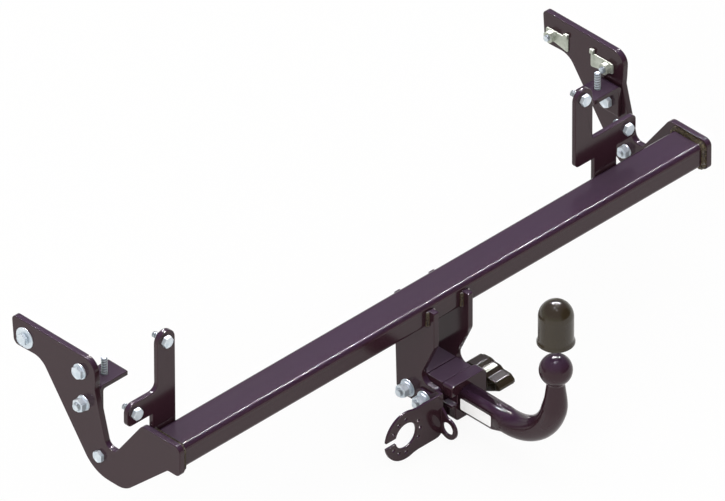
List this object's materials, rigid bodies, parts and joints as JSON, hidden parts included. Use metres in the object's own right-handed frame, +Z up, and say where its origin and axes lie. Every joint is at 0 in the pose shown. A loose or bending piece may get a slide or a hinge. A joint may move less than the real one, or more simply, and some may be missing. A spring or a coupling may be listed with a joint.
{
  "type": "towbar",
  "caption": "Detachable vehicle towbar: box crossbeam with bolt-on side plates, receiver, swan-neck ball, lock knob, lifted ball cap and socket plate.",
  "frame": {"origin": "centre of the coupling ball", "axes": "+Z up, +X along the crossbeam towards the vehicle's right side seen from behind, +Y towards the front of the vehicle"},
  "size_m": [1.1471, 0.5917, 0.3824],
  "materials": {
    "painted_steel": "smooth dark powder coat with a soft gloss",
    "bright_zinc": "bright zinc plate",
    "dull_zinc": "dull grey-green zinc plate",
    "black_plastic": "matt black moulded plastic"
  },
  "bodies": {
    "frame": {"crossbeam": "painted_steel", "side_plate_left": "painted_steel", "side_plate_right": "painted_steel", "angle_bracket_left": "painted_steel", "angle_bracket_right": "painted_steel", "bracket_stud_left": "bright_zinc", "bracket_stud_right": "bright_zinc", "chassis_bolt_front_left": "bright_zinc", "chassis_bolt_rear_left": "bright_zinc", "chassis_bolt_front_right": "bright_zinc", "chassis_bolt_rear_right": "bright_zinc", "chassis_washer_left": "bright_zinc", "chassis_washer_right": "bright_zinc", "nut_strip_front_left": "dull_zinc", "nut_strip_rear_left": "dull_zinc", "nut_strip_front_right": "dull_zinc", "nut_strip_rear_right": "dull_zinc", "bracket_bolt_left": "bright_zinc", "bracket_bolt_right": "bright_zinc", "bracket_nut_left": "bright_zinc", "bracket_nut_right": "bright_zinc", "lower_bolt_left": "bright_zinc", "lower_bolt_right": "bright_zinc", "lower_nut_left": "bright_zinc", "lower_nut_right": "bright_zinc", "upright_plate_left": "painted_steel", "upright_plate_right": "painted_steel", "upright_bolt_top_left": "bright_zinc", "upright_bolt_side_left": "bright_zinc", "upright_bolt_top_right": "bright_zinc", "upright_bolt_side_right": "bright_zinc", "hanger_plate_left": "painted_steel", "hanger_plate_right": "painted_steel", "spacer_block": "painted_steel", "receiver_housing": "painted_steel", "receiver_collar": "painted_steel", "receiver_liner": "dull_zinc", "receiver_stud_front": "bright_zinc", "receiver_stud_rear": "bright_zinc", "receiver_washer_front": "bright_zinc", "receiver_washer_rear": "bright_zinc", "receiver_nut_front": "bright_zinc", "receiver_nut_rear": "bright_zinc", "receiver_bolt_front": "bright_zinc", "receiver_bolt_rear": "bright_zinc", "socket_plate": "painted_steel", "socket_leg": "painted_steel"},
    "neck": {"swan_neck": "painted_steel"},
    "cap": {"ball_cap": "black_plastic"},
    "wheel": {"handwheel": "black_plastic", "locking_spindle": "bright_zinc", "lock_cylinder": "bright_zinc", "lock_insert": "dull_zinc"}
  },
  "joints": [
    {"name": "neck_slide", "type": "slide", "parent": "frame", "child": "neck", "axis": [0, -1, 0], "range_m": [0, 0.095]},
    {"name": "cap_slide", "type": "slide", "parent": "neck", "child": "cap", "axis": [0, 0, 1], "range_m": [-0.0945, 0.06]},
    {"name": "wheel_turn", "type": "hinge", "parent": "frame", "child": "wheel", "pos_m": [0.05, 0.2066, -0.157], "axis": [1, 0, 0], "range_deg": [0, 90]}
  ]
}
